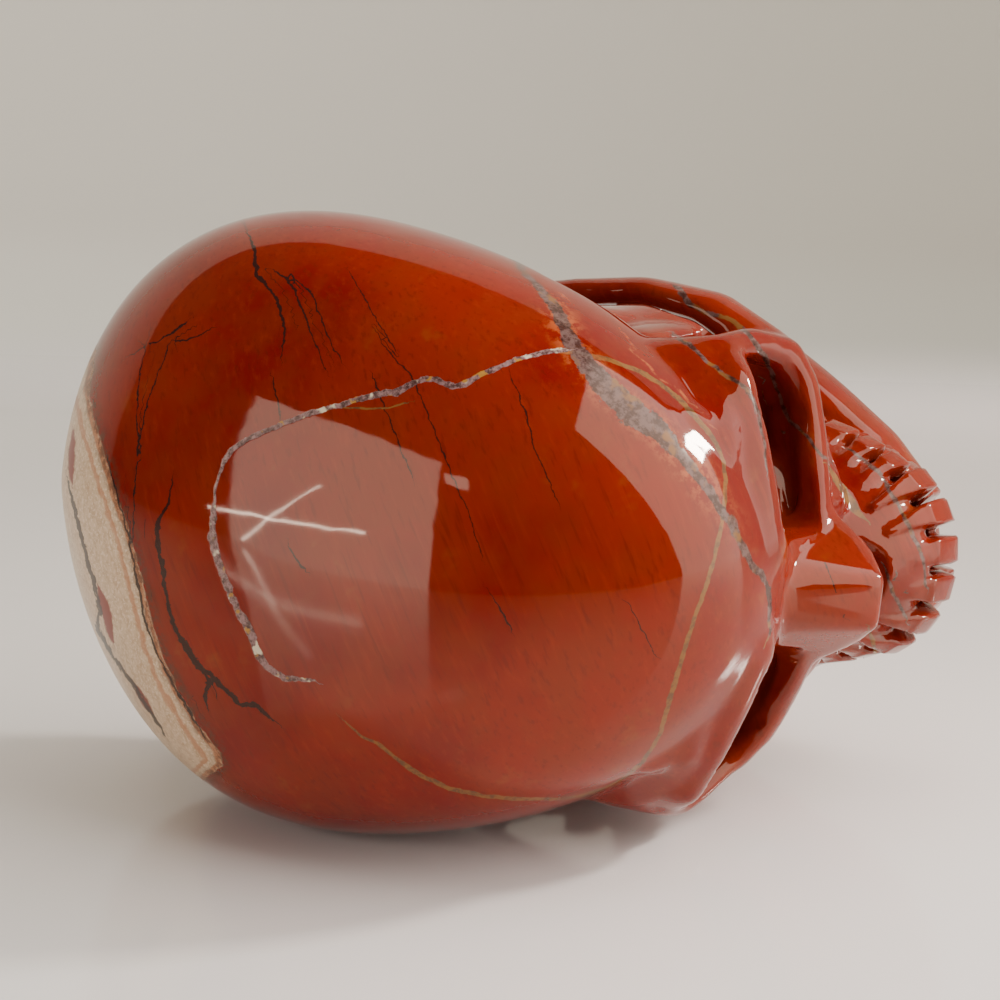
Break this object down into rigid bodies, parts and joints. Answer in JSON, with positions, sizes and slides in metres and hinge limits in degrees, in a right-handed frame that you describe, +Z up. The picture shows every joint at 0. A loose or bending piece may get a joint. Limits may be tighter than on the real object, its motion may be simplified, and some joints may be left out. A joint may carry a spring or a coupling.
{
  "type": "carved stone skull",
  "caption": "Life-like human skull carved from one block of polished red jasper, lying on its right side, as a desk or shelf ornament.",
  "frame": {"origin": "centre of the bounding box's bottom face, on the ground under the skull", "axes": "+Z up from the ground. The skull lies on its right side: its face looks to -Y, its left side is up, and its crown points to -X."},
  "size_m": [0.1094, 0.127, 0.0921],
  "materials": {
    "red_jasper": "high polish"
  },
  "bodies": {
    "root": {"skull": "red_jasper"}
  },
  "joints": []
}
